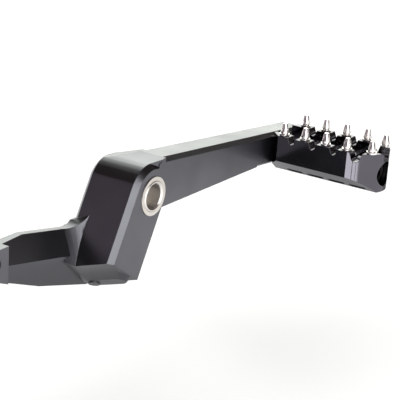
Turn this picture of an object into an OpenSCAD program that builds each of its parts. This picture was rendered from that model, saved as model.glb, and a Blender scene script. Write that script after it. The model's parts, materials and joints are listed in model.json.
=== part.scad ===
// Rear brake pedal of a motorbike, right-hand side, machined from billet.
// X points forward along the bike, Z up, and the outboard side is at -Y.
// The origin is on the pivot axis, halfway along the pivot boss.

/* [Pivot boss] */
// Width of the boss between its two end faces
boss_w = 28.5; // [24:0.5:32]
// Outer radius of the boss about the pivot axis
boss_r = 15.6; // [14.5:0.1:17]
// Chamfer round both ends of the boss and down the rear edges of the leg
boss_chamfer = 2.5; // [1:0.1:3]
// Radius of the pivot bolt hole through the sleeve
sleeve_bore_r = 6; // [5:0.1:6.2]
// Outer radius of the sleeve that the pedal turns on
sleeve_r = 7.5; // [7.2:0.05:7.7]
// How far the sleeve stands out past each end face of the boss
sleeve_proud = 0.8; // [0.6:0.1:1.5]
// Outer radius of the pressed part of the two pivot bushes
bush_r = 8.8; // [8.5:0.1:9]
// Length of the pressed part of each bush
bush_len = 9; // [6:0.5:10]
// Radius of the flange that shows on the end face
bush_flange_r = 9.5; // [9.3:0.1:10.5]
// Thickness of the bush flange
bush_flange_t = 1.1; // [0.8:0.1:1.4]
// Depth of the seat that the bush flange is let into
bush_seat = 0.6; // [0.3:0.1:0.7]
// Thickness of the ring seal behind each bush
seal_t = 1.2; // [1:0.1:1.6]

/* [Arm] */
// Distance from the pivot axis to the front end of the arm
arm_len = 145.7; // [142:0.1:160]
// Height of the top face above the pivot axis, projected back to the axis
arm_top = 17.67; // [17:0.1:19]
// Fall of the top face towards the front, in degrees
arm_fall = 5.3; // [4:0.1:6]
// Thickness of the arm beside the boss
arm_t_root = 16.6; // [15:0.1:18]
// Thickness of the arm at its front end
arm_t_end = 14.4; // [13:0.1:15]
// Depth of the arm's bottom edge below the pivot axis
arm_bottom = 7.45; // [7:0.05:8]
// Height of the parallel end pad that carries the tip
arm_end_h = 17.1; // [16:0.1:18]
// Length of that end pad
arm_pad_len = 48; // [44:0.5:52]
// Chamfer along the two top edges
arm_chamfer = 2.1; // [0.5:0.1:3]
// Chamfer along the two bottom edges
arm_low_chamfer = 1; // [0.3:0.1:2]
// Corner radius at the lower front corner of the arm
arm_nose_r = 4; // [1:0.5:7]
// Where the web beside the boss meets the arm, forward of the pivot axis
web_foot = 13.4; // [12:0.1:16]
// Where the web meets the inboard end of the boss
web_head = 4.6; // [3:0.1:6]

/* [Leg] */
// Lean of the leg from the vertical, foot towards the rear, in degrees
leg_lean = 28; // [24:0.5:32]
// Front face of the leg, forward of the pivot axis
leg_front = 10.3; // [10:0.1:11]
// Length of the leg from the pivot axis to its rear outboard bottom corner
leg_len = 36.3; // [34:0.1:40]
// Slope of the bottom face from rear to front, drop per millimetre
leg_foot_rise = 0.117; // [0.05:0.01:0.2]
// Slope of the bottom face from outboard to inboard, drop per millimetre
leg_foot_slant = 0.34; // [0.25:0.01:0.4]
// Half the width of the raised stop land across the foot of the leg
stop_land_r = 3.8; // [2.5:0.1:4.5]
// How far the stop land stands out of the foot
stop_land_h = 1.7; // [1:0.1:2.5]
// Distance of the land from both sides of the leg
stop_land_margin = 4; // [3:0.5:8]
// Radius of the round stop pad on the land
stop_pad_r = 2.8; // [1.5:0.1:3.5]
// How far the stop pad stands out of the land
stop_pad_h = 0.7; // [0.3:0.1:1.5]

/* [Rear lug] */
// Distance of the clevis pin hole behind the pivot axis
eye_back = 87; // [84:0.5:95]
// Distance of the clevis pin hole below the pivot axis
eye_drop = 14.5; // [13:0.1:16]
// Outer radius of the eye
eye_r = 7; // [6.5:0.1:8]
// Radius of the clevis pin hole
eye_hole_r = 3; // [2.5:0.05:4]
// Thickness of the eye
eye_t = 8.6; // [8.2:0.1:10]
// Thickness of the lug along its top edge
lug_t_top = 3.4; // [3:0.1:5]
// Thickness of the lug at its thickest line
lug_t = 8; // [7:0.1:8]
// Thickness of the lug along its bottom edge
lug_edge = 1.6; // [1:0.1:2.5]
// Height of that thickest line below the top edge
lug_side_h = 12; // [10:0.5:14]
// Rise of the lug's top edge towards the rear, in degrees
lug_rise = 10.8; // [9:0.1:12]
// Radius of the hollow between the top of the lug and the leg
lug_root_r = 12; // [8:0.5:14]
// Radius of the hollow between the side of the lug and the leg
lug_side_r = 26; // [20:0.5:30]
// Length of that hollow along the lug, from the lug's top corner
lug_side_len = 14.5; // [10:0.5:16]

/* [Tip] */
// Length of the tip outboard of the arm
tip_len = 61.8; // [60:0.1:64]
// Depth of the tip from rear to front
tip_depth = 30.6; // [30:0.1:33]
// Distance of the tip's bolt axis behind the arm's front end
tip_set_back = 21.2; // [19.2:0.1:22.2]
// Distance of the tip's bolt axis below the top of the arm
tip_below = 10.28; // [9.88:0.01:10.7]
// Height of the pin towers above the bolt axis
tower_h = 11.6; // [11:0.1:13]
// Depth of the flat underside below the bolt axis
tip_keel = 9.4; // [9:0.1:11]
// Width of the flat underside
keel_w = 12; // [10:0.5:14]
// Lower edge of the upright walls below the bolt axis
wall_foot = 2.4; // [1:0.1:4]
// Thickness of the two toothed walls
wall_t = 6.4; // [6.2:0.1:6.8]
// Depth of the notches between the towers
notch_d = 3.6; // [2:0.1:4.5]
// Width of the notches at the tops of the towers
notch_w = 4.8; // [3:0.1:5.5]
// Radius of the round bottoms of the notches
notch_r = 1.5; // [1:0.1:1.8]
// Width of the last notch, where the tip narrows
end_notch_w = 6.6; // [4:0.1:7]
// Depth of that last notch
end_notch_d = 4.8; // [3:0.1:5.5]
// Radius of its bottom
end_notch_r = 2.4; // [1.5:0.1:2.8]
// Width of the notch in the outboard end wall
mouth_w = 10; // [6:0.5:11]
// Depth of the notch in the outboard end wall
mouth_d = 3.8; // [2:0.1:4]
// Radius of the bottom of the notch in the end wall
mouth_r = 2.6; // [1:0.1:3]
// Radius of the tube along the middle of the tip
spine_r = 6.4; // [6.2:0.1:6.8]
// Thickness of the cross ribs
rib_t = 3; // [2:0.1:4]
// Height of the cross ribs above the bolt axis
rib_h = 7; // [6.6:0.1:8]

/* [Spike pins] */
// Distance of the last pin from the outboard end of the tip
pin_end = 5.4; // [5:0.1:6]
// Distance of the first pin from the arm
pin_first = 6.8; // [6.4:0.1:7.2]
// Distance between the two rows
row_gap = 24; // [23:0.1:24.6]
// Distance between the two outermost pins, where the tip narrows
row_gap_end = 16.8; // [15:0.1:18]
// Height of a pin above its tower
pin_h = 6.7; // [4:0.1:8]
// Radius of a pin at the foot of its cone
pin_foot_r = 2.25; // [1.8:0.05:2.6]
// Radius of a pin at its blunt point
pin_top_r = 0.9; // [0.6:0.05:1.3]
// Width of the hexagon under the cone across its flats
pin_hex = 5.5; // [5:0.1:6]
// Thickness of that hexagon
pin_hex_t = 1.2; // [0.8:0.1:1.6]
// Radius of the screwed stem
pin_stem_r = 2; // [1.5:0.05:2.2]
// Length of the screwed stem
pin_stem_len = 6; // [4:0.1:7]

/* [Fasteners] */
// Radius of the tip bolt's shank
bolt_r = 4; // [3.5:0.05:4.2]
// Radius of the tip bolt's head
bolt_head_r = 6.5; // [6:0.05:6.6]
// Height of the tip bolt's head
bolt_head_h = 8; // [7:0.1:8.5]
// Width of the hexagon socket across its flats
bolt_socket = 6; // [5:0.5:6]
// Thickness of the lock washer
washer_t = 2; // [1:0.1:2.5]
// Radius of the counterbore for the head
counterbore_r = 6.7; // [6.65:0.05:6.9]
// How deep the head lies below the outboard end
head_sink = 1; // [0:0.1:3]
// Radius of the two locating dowels between the tip and the arm
dowel_r = 1.5; // [1:0.1:1.6]
// Length of a locating dowel
dowel_len = 10; // [8:0.5:12]
// Distance of each dowel from the bolt axis
dowel_out = 8; // [7.5:0.1:8.5]

/* [Fits] */
// Radial clearance of the pedal on its sleeve
running_fit = 0.05; // [0.02:0.01:0.1]
// Radial clearance of pressed and screwed pieces
close_fit = 0.02; // [0.01:0.01:0.05]
// Radial clearance of the tip bolt in the tip
bolt_play = 0.2; // [0.1:0.05:0.3]

/* [Hidden] */
// Pins in each of the two rows
pin_count = 5;
$fn = 64;

// A cut reaches this far past the surface that it opens
over = 1;
// A round crosses the line that it runs into by this much, so that the two meet cleanly
lap = 0.02;
// Larger than the whole pedal
big = 400;

// Lateral places, with the outboard faces of boss, leg and arm in one plane
out_y = -boss_w / 2;
in_y = boss_w / 2;

// Arm outline in the XZ plane
arm_slope = tan(arm_fall);
pad_x = arm_len - arm_pad_len;
pad_low = arm_top - arm_slope * pad_x - arm_end_h;
nose_low = arm_top - arm_slope * arm_len - arm_end_h;
ramp_foot = [boss_r * sin(17), boss_r * cos(17)];
ramp_head_x = ramp_foot[0] + 4.4;
arm_taper = atan((arm_t_root - arm_t_end) / arm_len);

// Leg directions in the XZ plane
leg_down = [-sin(leg_lean), -cos(leg_lean)];
leg_fore = [cos(leg_lean), -sin(leg_lean)];
foot_front = leg_len + leg_foot_rise * (boss_r + leg_front) + leg_foot_slant * boss_w;

// Lug outline in the XZ plane
eye = [-eye_back, -eye_drop];
lug_dir = [-cos(lug_rise), sin(lug_rise)];
// Corners where the taper of the lug begins, below and above
knee_low = eye + [34.6, -21.6];
knee_top = eye + [22.6, 7];
// The lug's front corner stays this far inside the leg and its foot
lug_inset = [0.6, 0.3];
lug_corner = crossing(leg_fore * -boss_r, leg_down, knee_top, lug_dir);

// Tip
tip_half = tip_depth / 2;
tip_ahead = arm_len - tip_set_back;
tip_drop = tip_below - arm_top + arm_slope * tip_ahead;
tip_centre = [tip_ahead, out_y, -tip_drop];
counterbore_d = head_sink + bolt_head_h + washer_t;
bolt_len = tip_len - counterbore_d + arm_t_end - 1;
pin_hole_r = pin_stem_r + close_fit;
pin_pitch = (tip_len - pin_first - pin_end) / (pin_count - 1);

function arm_top_z(x) = arm_top - arm_slope * x;
function arm_in_y(x) = out_y + arm_t_root - (arm_t_root - arm_t_end) * x / arm_len;
function leg_point(fore, down) = leg_fore * fore + leg_down * down;
function unit(v) = v / norm(v);
function cross2(a, b) = a[0] * b[1] - a[1] * b[0];
// Where the line through p along u meets the line through q along v
function crossing(p, u, q, v) = p + u * cross2(q - p, v) / cross2(u, v);
// Point where a line from p touches the circle round c, on the side given by +1 or -1
function touch(p, c, r, side) =
    let (gap = norm(c - p), turn = side * acos(r / gap), back = unit(p - c))
    c + r * [back[0] * cos(turn) - back[1] * sin(turn), back[0] * sin(turn) + back[1] * cos(turn)];
// Centre of a circle of radius r that touches both arms of a corner
function fillet_centre(corner, u, v, r) = corner + unit(u + v) * r / sin(acos(u * v) / 2);
// Distance from that corner to where the circle touches
function fillet_reach(u, v, r) = r / tan(acos(u * v) / 2);
function pin_x(i, side) = side * (i < pin_count ? row_gap : row_gap_end) / 2;
function pin_w(i) = pin_first + (i - 1) * pin_pitch;

// Turns an outline drawn in X and Z into a plate between two Y values
module plate(y0, y1) {
    translate([0, y1, 0]) rotate([90, 0, 0]) linear_extrude(y1 - y0) children();
}

// A round bar along Y
module y_bar(r, y0, y1, fn = 64) {
    translate([0, y1, 0]) rotate([90, 0, 0]) cylinder(r = r, h = y1 - y0, $fn = fn);
}

// A square bar centred on an edge, to chamfer it
module edge_bar(size, len) {
    side = size * sqrt(2);
    rotate([45, 0, 0]) translate([0, -side / 2, -side / 2]) cube([len, side, side]);
}

module boss_round() {
    rotate([90, 0, 0]) rotate_extrude($fn = 96) polygon([
        [0, -boss_w / 2], [boss_r - boss_chamfer, -boss_w / 2], [boss_r, -boss_w / 2 + boss_chamfer],
        [boss_r, boss_w / 2 - boss_chamfer], [boss_r - boss_chamfer, boss_w / 2], [0, boss_w / 2]]);
}

// The leg as a bar with chamfered rear edges, still uncut at its foot
module leg_bar() {
    rotate([0, leg_lean, 0]) translate([0, 0, -foot_front - 5]) linear_extrude(foot_front + 5) polygon([
        [leg_front, out_y], [leg_front, in_y], [-boss_r + boss_chamfer, in_y], [-boss_r, in_y - boss_chamfer],
        [-boss_r, out_y + boss_chamfer], [-boss_r + boss_chamfer, out_y]]);
}

// Places its children on the slanted foot of the leg, with Z along the foot's upward normal
module on_foot() {
    rise_angle = atan(leg_foot_rise);
    slant_angle = atan(leg_foot_slant * cos(rise_angle));
    rotate([0, leg_lean, 0]) translate([-boss_r, out_y, -leg_len])
        rotate([0, rise_angle, 0]) rotate([-slant_angle, 0, 0]) children();
}

module below_foot() {
    on_foot() translate([-big / 2, -big / 2, -big]) cube(big);
}

// Raised land with a round pad, which meets the pedal's stop on the frame
module stop_land() {
    ahead = boss_r + leg_front - stop_land_r - 0.3;
    near = stop_land_margin + stop_land_r;
    far = boss_w - stop_land_margin - stop_land_r;
    on_foot() {
        for (y = [near, far])
            translate([ahead, y, -stop_land_h]) cylinder(r = stop_land_r, h = stop_land_h + over);
        translate([ahead - stop_land_r, near, -stop_land_h])
            cube([2 * stop_land_r, far - near, stop_land_h + over]);
        translate([ahead, far, -stop_land_h - stop_pad_h]) cylinder(r = stop_pad_r, h = stop_pad_h + over);
    }
}

// Side outline of the arm, from the round of the boss to the front end
module arm_outline() {
    nose = [arm_len - arm_nose_r, nose_low + arm_slope * arm_nose_r + arm_nose_r];
    polygon([
        ramp_foot, [ramp_head_x, arm_top_z(ramp_head_x)], [arm_len, arm_top_z(arm_len)],
        [arm_len, nose[1]], [nose[0], nose[1] - arm_nose_r], [pad_x, pad_low],
        [0, -arm_bottom], [0, 0]]);
    translate(nose) circle(r = arm_nose_r, $fn = 48);
}

// Top view of the arm, with the web that spreads out to the boss
module arm_plan() {
    polygon([
        [0, out_y], [arm_len, out_y], [arm_len, arm_in_y(arm_len)], [web_foot, arm_in_y(web_foot)],
        [web_head, in_y - arm_chamfer], [0, in_y - arm_chamfer]]);
}

module arm_bar() {
    difference() {
        intersection() {
            plate(out_y, in_y) arm_outline();
            translate([0, 0, -big / 2]) linear_extrude(big) arm_plan();
        }
        translate([ramp_head_x, out_y, arm_top_z(ramp_head_x)]) rotate([0, arm_fall, 0])
            edge_bar(arm_chamfer, arm_len + 20);
        translate([web_foot, arm_in_y(web_foot), arm_top_z(web_foot)]) rotate([0, arm_fall, -arm_taper])
            edge_bar(arm_chamfer, arm_len + 20);
        for (y = [out_y, arm_in_y(arm_len)])
            translate([pad_x, y, pad_low]) rotate([0, arm_fall, 0]) edge_bar(arm_low_chamfer, arm_len);
    }
}

// Side outline of the lug: a plate that tapers back to the eye
module lug_outline() {
    top_touch = touch(knee_top, eye, eye_r - lap, 1);
    low_touch = touch(knee_low, eye, eye_r - lap, -1);
    front_fore = leg_front - lug_inset[0];
    front_low = leg_point(front_fore, foot_front - lug_inset[1]);
    root = fillet_reach(-leg_down, lug_dir, lug_root_r);
    difference() {
        union() {
            polygon([
                lug_corner - leg_down * root, lug_corner + lug_dir * root, knee_top, top_touch, eye,
                low_touch, knee_low, front_low, leg_point(front_fore, 20), leg_point(0, 10)]);
            translate(eye) circle(r = eye_r);
        }
        translate(fillet_centre(lug_corner, -leg_down, lug_dir, lug_root_r))
            circle(r = lug_root_r + lap, $fn = 96);
    }
}

// Section across the lug: depth inboard of the outboard face, and height under the top edge
module lug_section() {
    polygon([
        [in_y + over, over], [in_y - lug_t_top, over], [in_y - lug_t_top, 0], [in_y - lug_t, -lug_side_h],
        [in_y - lug_t + 1.3, -lug_side_h - 4.5], [in_y - lug_edge, -lug_side_h - 21], [in_y - lug_edge, -60],
        [in_y + over, -60]]);
}

module lug() {
    intersection() {
        plate(out_y, in_y) lug_outline();
        union() {
            translate([knee_top[0], 0, knee_top[1]]) rotate([0, lug_rise, 0]) rotate([90, 0, 90])
                translate([0, 0, -40]) linear_extrude(110) lug_section();
            // The eye is one thickness all over, with a step down to the tapered plate
            translate([eye[0] - eye_r - over, in_y - eye_t, eye[1] - 2 * eye_r])
                cube([2 * eye_r + 2 * over, eye_t + over, 4 * eye_r]);
        }
    }
}

// Hollow that leads the slanted side of the lug forward to the rear face of the leg
module lug_side_hollow() {
    slant = atan((lug_t - lug_t_top) / lug_side_h);
    reach = lug_side_len + 12;
    intersection() {
        plate(out_y, in_y) lug_outline();
        translate([lug_corner[0] - lug_side_len, in_y - lug_t_top, lug_corner[1]]) rotate([-slant, 0, 0])
            translate([0, 0, -40]) linear_extrude(44) difference() {
                translate([0, -lug_side_r]) square([reach, lug_side_r + 2]);
                translate([0, -lug_side_r]) circle(r = lug_side_r, $fn = 96);
            }
    }
}

// Corner under the arm and ahead of the leg, which the round boss would fill
module front_corner() {
    plate(out_y - over, in_y + over) polygon([
        [leg_front / cos(leg_lean) - arm_bottom * tan(leg_lean), -arm_bottom], [30, -arm_bottom], [30, -30],
        leg_point(leg_front, 30)]);
}

module pivot_bores() {
    y_bar(bush_r + close_fit - 0.5, out_y - over, in_y + over);
    for (side = [0, 1]) mirror([0, side, 0]) {
        y_bar(bush_r + close_fit, out_y - over, out_y + bush_seat + bush_len + seal_t);
        y_bar(bush_flange_r + 2 * close_fit, out_y - over, out_y + bush_seat);
    }
}

module pedal_arm() {
    color("#3a3a3e") difference() {
        union() {
            difference() {
                boss_round();
                front_corner();
            }
            arm_bar();
            difference() {
                union() {
                    leg_bar();
                    lug_side_hollow();
                }
                below_foot();
            }
            stop_land();
            lug();
        }
        pivot_bores();
        translate([eye[0], 0, eye[1]]) y_bar(eye_hole_r, 0, in_y + over);
        translate([tip_ahead, 0, -tip_drop]) y_bar(bolt_r + close_fit, out_y - over, in_y);
        for (side = [-1, 1])
            translate([tip_ahead + side * dowel_out, 0, -tip_drop])
                y_bar(dowel_r + close_fit, out_y - over, out_y + dowel_len / 2);
    }
}

module pivot_sleeve() {
    color("#c9c6c0") difference() {
        y_bar(sleeve_r, out_y - sleeve_proud, in_y + sleeve_proud);
        y_bar(sleeve_bore_r, out_y - sleeve_proud - over, in_y + sleeve_proud + over);
    }
}

// A flanged bush, drawn at the outboard end
module bush() {
    flange_y = out_y + bush_seat - bush_flange_t;
    color("#d3cfc8") difference() {
        union() {
            y_bar(bush_r, out_y, out_y + bush_seat + bush_len);
            y_bar(bush_flange_r, flange_y, out_y + bush_seat);
        }
        y_bar(sleeve_r + running_fit, flange_y - over, out_y + bush_seat + bush_len + over);
    }
}

module bush_outboard() {
    bush();
}

module bush_inboard() {
    mirror([0, 1, 0]) bush();
}

// A ring seal that lies behind the outboard bush
module seal() {
    r = seal_t / 2;
    color("#1a1a1a") translate([0, out_y + bush_seat + bush_len + r, 0]) rotate([90, 0, 0])
        rotate_extrude($fn = 64) translate([bush_r - r, 0]) circle(r = r, $fn = 24);
}

module seal_outboard() {
    seal();
}

module seal_inboard() {
    mirror([0, 1, 0]) seal();
}

// Places its children at the tip, with the bolt axis as origin and outboard as +Y
module at_tip() {
    translate(tip_centre) mirror([0, 1, 0]) children();
}

// Cross-section of the tip in X and Z
module tip_section() {
    polygon([
        [-tip_half, tower_h], [-tip_half, -wall_foot], [-keel_w / 2, -tip_keel], [keel_w / 2, -tip_keel],
        [tip_half, -wall_foot], [tip_half, tower_h]]);
}

// Top view of the tip, narrowing to a round outboard end
module tip_plan() {
    corner = 4.8;
    facet_in = 1.2;
    narrow = tip_half - facet_in;
    facet_w = tip_len - 16;
    narrow_w = facet_w + 6;
    end_r = 14.6;
    end_w = tip_len - 12.8;
    intersection() {
        polygon([
            [-tip_half + corner, 0], [-tip_half, corner], [-tip_half, facet_w], [-narrow, narrow_w],
            [-narrow, tip_len], [narrow, tip_len], [narrow, narrow_w],
            [tip_half, facet_w], [tip_half, corner], [tip_half - corner, 0]]);
        union() {
            translate([-tip_half, 0]) square([tip_depth, end_w]);
            translate([0, end_w]) circle(r = end_r, $fn = 96);
        }
    }
}

// Rounded notch between two towers, drawn with its mouth at the top
module notch(w, d, r) {
    foot = tower_h - d + r;
    polygon([[-w / 2, tower_h + over], [-w / 2, tower_h], [-r, foot], [r, foot], [w / 2, tower_h],
        [w / 2, tower_h + over]]);
    translate([0, foot]) circle(r = r, $fn = 32);
}

module tip_body() {
    inner = tip_half - wall_t;
    first_w = pin_w(1) + rib_t / 2;
    last_w = pin_w(pin_count) + rib_t / 2;
    color("#1c1c20") at_tip() difference() {
        intersection() {
            rotate([90, 0, 0]) translate([0, 0, -tip_len]) linear_extrude(tip_len) tip_section();
            translate([0, 0, -tip_keel - over]) linear_extrude(tip_keel + tower_h + 2 * over) tip_plan();
        }
        // The open valley between the walls, above the ribs and the tube
        translate([-inner, -over, rib_h]) cube([2 * inner, last_w + over, tower_h]);
        // Pockets between the ribs, which leave the tube
        for (i = [1:pin_count - 1]) {
            w0 = pin_w(i) + rib_t / 2;
            w1 = pin_w(i + 1) - rib_t / 2;
            difference() {
                translate([-inner, w0, -tip_keel - over])
                    cube([2 * inner, w1 - w0, tip_keel + rib_h + 2 * over]);
                translate([0, w1 + over, 0]) rotate([90, 0, 0]) cylinder(r = spine_r, h = w1 - w0 + 2 * over);
                translate([-spine_r, w0 - over, -tip_keel - over])
                    cube([2 * spine_r, w1 - w0 + 2 * over, tip_keel + over]);
            }
            translate([-tip_half - over, (w0 + w1) / 2, 0]) rotate([90, 0, 90])
                linear_extrude(tip_depth + 2 * over)
                if (i < pin_count - 1) notch(notch_w, notch_d, notch_r);
                else notch(end_notch_w, end_notch_d, end_notch_r);
        }
        // Notch in the end wall, above the head of the bolt
        translate([0, tip_len + over, 0]) rotate([90, 0, 0]) linear_extrude(tip_len - first_w)
            notch(mouth_w, mouth_d, mouth_r);
        rotate([-90, 0, 0]) translate([0, 0, -over]) cylinder(r = bolt_r + bolt_play, h = tip_len + 2 * over);
        rotate([-90, 0, 0]) translate([0, 0, tip_len - counterbore_d])
            cylinder(r = counterbore_r, h = counterbore_d + over);
        for (side = [-1, 1]) {
            translate([side * dowel_out, -over, 0]) rotate([-90, 0, 0])
                cylinder(r = dowel_r + close_fit, h = dowel_len / 2 + over);
            for (i = [1:pin_count])
                translate([pin_x(i, side), pin_w(i), tower_h - pin_stem_len - 0.3])
                    cylinder(r = pin_hole_r, h = pin_stem_len + over + 0.3);
        }
    }
}

// Socket-head bolt through the length of the tip into the arm
module tip_bolt() {
    seat = tip_len - counterbore_d + washer_t;
    color("#6a6a6e") at_tip() rotate([-90, 0, 0]) difference() {
        union() {
            translate([0, 0, seat - bolt_len - washer_t]) cylinder(r = bolt_r, h = bolt_len + washer_t + over);
            translate([0, 0, seat]) cylinder(r = bolt_head_r, h = bolt_head_h);
        }
        translate([0, 0, seat + bolt_head_h / 2]) cylinder(d = bolt_socket / cos(30), h = bolt_head_h, $fn = 6);
    }
}

module lock_washer() {
    color("#8f8f93") at_tip() rotate([-90, 0, 0]) translate([0, 0, tip_len - counterbore_d]) difference() {
        cylinder(r = bolt_head_r - 0.15, h = washer_t);
        translate([0, 0, -over]) cylinder(r = bolt_r + close_fit * 3, h = washer_t + 2 * over);
    }
}

module dowel(side) {
    color("#a8a8ac") at_tip() translate([side * dowel_out, 0, 0]) rotate([90, 0, 0])
        translate([0, 0, -dowel_len / 2]) cylinder(r = dowel_r, h = dowel_len);
}

// Screw-in spike with a hexagon to turn it by
module spike_pin(i, side) {
    color("#dcdcdc") at_tip() translate([pin_x(i, side), pin_w(i), tower_h]) {
        rotate_extrude($fn = 48) polygon([
            [0, -pin_stem_len], [pin_stem_r, -pin_stem_len], [pin_stem_r, 0], [pin_stem_r, pin_hex_t],
            [pin_foot_r, pin_hex_t], [pin_top_r + 0.15, pin_h - 0.4], [pin_top_r - 0.3, pin_h], [0, pin_h]]);
        cylinder(d = pin_hex / cos(30), h = pin_hex_t, $fn = 6);
    }
}

pedal_arm();
pivot_sleeve();
bush_outboard();
bush_inboard();
seal_outboard();
seal_inboard();
tip_body();
tip_bolt();
lock_washer();
dowel(-1);  // dowel_rear
dowel(1);  // dowel_front
for (i = [1:pin_count]) {
    spike_pin(i, -1);
    spike_pin(i, 1);
}
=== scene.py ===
"""Looks of a rear brake pedal with a toothed tip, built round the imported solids.

Everything is in metres in the pedal's own frame: X forward, Z up, outboard at -Y, and the origin on
the pivot axis halfway along the boss.
"""

import json
import logging
import math
from collections.abc import Callable, Iterator, Sequence
from contextlib import contextmanager
from dataclasses import dataclass
from enum import Enum
from typing import Any

import bpy
from mathutils import Matrix, Vector


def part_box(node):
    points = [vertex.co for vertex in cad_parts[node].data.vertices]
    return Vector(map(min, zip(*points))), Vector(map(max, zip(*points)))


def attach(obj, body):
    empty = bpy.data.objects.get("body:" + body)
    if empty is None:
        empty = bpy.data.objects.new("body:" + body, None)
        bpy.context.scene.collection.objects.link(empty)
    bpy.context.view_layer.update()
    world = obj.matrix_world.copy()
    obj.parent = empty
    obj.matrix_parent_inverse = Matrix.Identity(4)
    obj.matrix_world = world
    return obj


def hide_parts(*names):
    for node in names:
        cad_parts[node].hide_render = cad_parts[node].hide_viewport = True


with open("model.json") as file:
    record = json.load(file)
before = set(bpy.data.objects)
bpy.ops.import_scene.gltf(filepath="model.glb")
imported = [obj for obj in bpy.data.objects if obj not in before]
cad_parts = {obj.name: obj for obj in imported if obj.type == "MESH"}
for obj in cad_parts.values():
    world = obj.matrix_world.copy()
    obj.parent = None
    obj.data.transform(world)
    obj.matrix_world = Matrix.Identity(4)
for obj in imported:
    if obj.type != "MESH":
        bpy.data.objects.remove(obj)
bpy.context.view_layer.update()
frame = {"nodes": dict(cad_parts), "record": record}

LOG = logging.getLogger("pedal")

MM = 0.001
# Points closer than this are one point
WELD = 0.001 * MM
# Faces that turn less than this, in degrees, lie in one plane
FLAT_ANGLE = 0.3
WHITE = "#ffffff"


def linear_rgba(hex_colour: str, alpha: float = 1.0) -> tuple[float, float, float, float]:
    """Turns an sRGB hex colour into the linear values that a shader takes.

    Args:
        hex_colour: Six hex digits after a hash sign.
        alpha: Opacity to put behind the colour.

    Returns:
        Linear red, green and blue, and the alpha.
    """
    channels = [int(hex_colour[i:i + 2], 16) / 255 for i in (1, 3, 5)]
    linear = [c / 12.92 if c <= 0.04045 else ((c + 0.055) / 1.055) ** 2.4 for c in channels]
    return (linear[0], linear[1], linear[2], alpha)


def add_node(
    tree: bpy.types.NodeTree,
    kind: str,
    settings: dict[str, Any] | None = None,
    links: dict[str, bpy.types.NodeSocket] | None = None,
) -> bpy.types.Node:
    """Adds a shader node, sets its properties and constant sockets, and links its inputs.

    Args:
        tree: The node tree that gets the node.
        kind: The node's type name.
        settings: Property or input names with their values.
        links: Input names with the sockets that feed them.

    Returns:
        The new node.
    """
    node = tree.nodes.new(kind)
    for name, value in (settings or {}).items():
        if hasattr(node, name):
            setattr(node, name, value)
        else:
            node.inputs[name].default_value = value
    for name, socket in (links or {}).items():
        target = node.inputs[int(name)] if name.isdigit() else node.inputs[name]
        tree.links.new(socket, target)
    return node


class Turning(Enum):
    """The way that tool marks run on a surface."""

    NONE = "none"
    ROUND_PIVOT = "round_pivot"


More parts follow.
